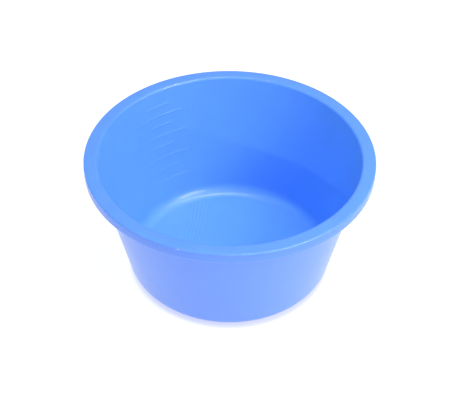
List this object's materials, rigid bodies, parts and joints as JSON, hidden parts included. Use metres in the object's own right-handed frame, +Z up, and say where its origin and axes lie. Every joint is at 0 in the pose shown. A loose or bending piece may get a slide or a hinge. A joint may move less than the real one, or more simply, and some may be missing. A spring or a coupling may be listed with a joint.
{
  "type": "wash bowl",
  "caption": "Round moulded plastic wash bowl with a tapered wall, a rounded base corner, a flat rim with a turned-down skirt, and a raised litre scale inside.",
  "frame": {"origin": "middle of the base, on the surface that the bowl stands on", "axes": "+Z up along the bowl's own axis, +Y to the back of the bowl; the litre scale is on the inside wall at the back left, between -X and +Y"},
  "size_m": [0.28, 0.28, 0.1355],
  "materials": {
    "bowl_plastic": "satin gloss moulded polypropylene, mid blue, very slightly translucent"
  },
  "bodies": {
    "root": {"bowl": "bowl_plastic"}
  },
  "joints": []
}
